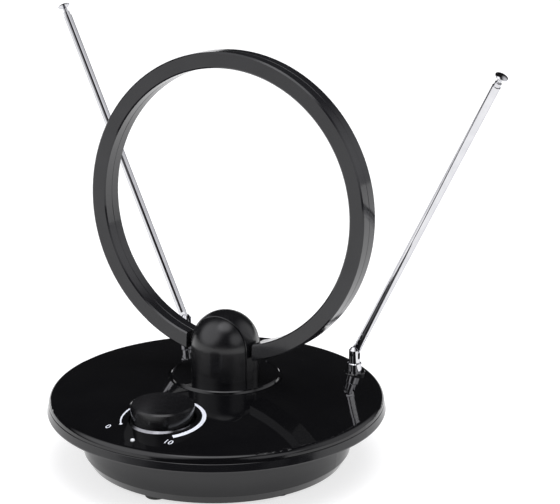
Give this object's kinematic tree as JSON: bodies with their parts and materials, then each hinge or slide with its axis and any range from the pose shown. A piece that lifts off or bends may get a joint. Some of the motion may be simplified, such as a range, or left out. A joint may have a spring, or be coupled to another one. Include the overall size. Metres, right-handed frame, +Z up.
{
  "type": "rabbit ears antenna",
  "caption": "Indoor television antenna: domed round base with a gain knob, a tilting loop on a swivelling hub, and telescopic rods that fold on swivelling posts.",
  "frame": {"origin": "on the table, under the middle of the round base", "axes": "+X to the right seen from the knob's side, +Y from the knob to the rear sockets, +Z up"},
  "size_m": [0.3624, 0.2246, 0.2724],
  "materials": {
    "gloss_black": "mirror-glossy moulded ABS",
    "drum_plastic": "semi-gloss moulded ABS",
    "hub_plastic": "semi-gloss moulded ABS",
    "loop_plastic": "semi-gloss moulded ABS",
    "knob_satin": "satin moulded plastic",
    "bezel_metal": "satin anodised ring",
    "chrome_plate": "bright nickel-chrome plating",
    "chrome_tube": "bright drawn and plated brass tube",
    "zinc_steel": "zinc-plated steel",
    "tinned_steel": "tinned sheet steel",
    "ballast_steel": "rolled steel plate",
    "foot_rubber": "moulded rubber",
    "board_laminate": "green solder-masked laminate",
    "component_black": "matt black moulding",
    "control_body": "moulded phenolic body",
    "shaft_aluminium": "turned aluminium",
    "led_lens": "clear cast lens over a white cup",
    "socket_plating": "nickel-plated brass",
    "insulator_white": "white plastic insulator",
    "washer_nylon": "natural nylon",
    "sleeve_black": "moulded acetal",
    "band_copper": "bare copper alloy band"
  },
  "bodies": {
    "base": {"top_plate": "gloss_black", "base_shell": "drum_plastic", "bottom_cover": "drum_plastic", "feet": "foot_rubber", "cover_screws": "zinc_steel", "rim_screws": "zinc_steel", "ballast_plate": "ballast_steel", "circuit_board": "board_laminate", "board_screws": "zinc_steel", "board_parts": "component_black", "shield_can": "tinned_steel", "gain_control": "control_body", "gain_nut": "zinc_steel", "power_led": "led_lens", "aerial_socket": "socket_plating", "socket_insulator": "insulator_white", "socket_nut": "socket_plating", "supply_jack": "component_black", "knob_bezel": "bezel_metal", "thrust_washer": "washer_nylon", "rod_bush_left": "gloss_black", "rod_collar_left": "chrome_plate", "rod_nut_left": "zinc_steel", "rod_bush_right": "gloss_black", "rod_collar_right": "chrome_plate", "rod_nut_right": "zinc_steel"},
    "knob": {"knob": "knob_satin", "gain_shaft": "shaft_aluminium"},
    "turntable": {"turntable": "gloss_black", "spindle_clip": "zinc_steel", "hub_core": "hub_plastic", "hub_front_shell": "hub_plastic", "hub_rear_shell": "hub_plastic", "hub_screws": "zinc_steel", "turntable_screws": "zinc_steel", "friction_washers": "foot_rubber"},
    "loop": {"tilt_sleeve": "sleeve_black", "sleeve_clips": "zinc_steel", "loop_front_shell": "loop_plastic", "loop_rear_shell": "loop_plastic", "loop_screws": "zinc_steel", "loop_conductor": "band_copper"},
    "clevis_left": {"rod_clevis_left": "chrome_plate", "rod_pin_left": "chrome_plate"},
    "rod_left": {"rod_tongue_left": "chrome_plate", "rod_left_tube_1": "chrome_tube"},
    "rod_left_section_2": {"rod_left_tube_2": "chrome_tube"},
    "rod_left_section_3": {"rod_left_tube_3": "chrome_tube"},
    "rod_left_section_4": {"rod_left_tube_4": "chrome_tube"},
    "rod_left_section_5": {"rod_left_tube_5": "chrome_tube", "rod_left_tip": "chrome_tube"},
    "clevis_right": {"rod_clevis_right": "chrome_plate", "rod_pin_right": "chrome_plate"},
    "rod_right": {"rod_tongue_right": "chrome_plate", "rod_right_tube_1": "chrome_tube"},
    "rod_right_section_2": {"rod_right_tube_2": "chrome_tube"},
    "rod_right_section_3": {"rod_right_tube_3": "chrome_tube"},
    "rod_right_section_4": {"rod_right_tube_4": "chrome_tube"},
    "rod_right_section_5": {"rod_right_tube_5": "chrome_tube", "rod_right_tip": "chrome_tube"}
  },
  "joints": [
    {"name": "turntable_swivel", "type": "hinge", "parent": "base", "child": "turntable", "pos_m": [0, 0.0117, 0.052], "axis": [0, 0, 1], "range_deg": [-90, 90]},
    {"name": "loop_tilt", "type": "hinge", "parent": "turntable", "child": "loop", "pos_m": [0, 0.0117, 0.0757], "axis": [-1, 0, 0], "range_deg": [-75, 20]},
    {"name": "knob_turn", "type": "hinge", "parent": "base", "child": "knob", "pos_m": [0, -0.0681, 0.0536], "axis": [0, 0, 1], "range_deg": [-254, 0]},
    {"name": "post_swivel_left", "type": "hinge", "parent": "base", "child": "clevis_left", "pos_m": [-0.0664, 0.0705, 0.055], "axis": [0, 0, 1], "range_deg": [-95, 40]},
    {"name": "rod_fold_left", "type": "hinge", "parent": "clevis_left", "child": "rod_left", "pos_m": [-0.0664, 0.0705, 0.0614], "axis": [-0.1994, -0.9799, 0], "range_deg": [-28, 61.5]},
    {"name": "rod_left_slide_2", "type": "slide", "parent": "rod_left", "child": "rod_left_section_2", "axis": [-0.467, 0.095, 0.8792], "range_m": [0, 0.185]},
    {"name": "rod_left_slide_3", "type": "slide", "parent": "rod_left_section_2", "child": "rod_left_section_3", "axis": [-0.467, 0.095, 0.8792], "range_m": [0, 0.185]},
    {"name": "rod_left_slide_4", "type": "slide", "parent": "rod_left_section_3", "child": "rod_left_section_4", "axis": [-0.467, 0.095, 0.8792], "range_m": [0, 0.185]},
    {"name": "rod_left_slide_5", "type": "slide", "parent": "rod_left_section_4", "child": "rod_left_section_5", "axis": [-0.467, 0.095, 0.8792], "range_m": [0, 0.185]},
    {"name": "post_swivel_right", "type": "hinge", "parent": "base", "child": "clevis_right", "pos_m": [0.0664, 0.0705, 0.055], "axis": [0, 0, 1], "range_deg": [-20, 118]},
    {"name": "rod_fold_right", "type": "hinge", "parent": "clevis_right", "child": "rod_right", "pos_m": [0.0664, 0.0705, 0.0614], "axis": [0.1994, 0.9799, 0], "range_deg": [-28, 61.5]},
    {"name": "rod_right_slide_2", "type": "slide", "parent": "rod_right", "child": "rod_right_section_2", "axis": [0.467, -0.095, 0.8792], "range_m": [0, 0.185]},
    {"name": "rod_right_slide_3", "type": "slide", "parent": "rod_right_section_2", "child": "rod_right_section_3", "axis": [0.467, -0.095, 0.8792], "range_m": [0, 0.185]},
    {"name": "rod_right_slide_4", "type": "slide", "parent": "rod_right_section_3", "child": "rod_right_section_4", "axis": [0.467, -0.095, 0.8792], "range_m": [0, 0.185]},
    {"name": "rod_right_slide_5", "type": "slide", "parent": "rod_right_section_4", "child": "rod_right_section_5", "axis": [0.467, -0.095, 0.8792], "range_m": [0, 0.185]}
  ]
}
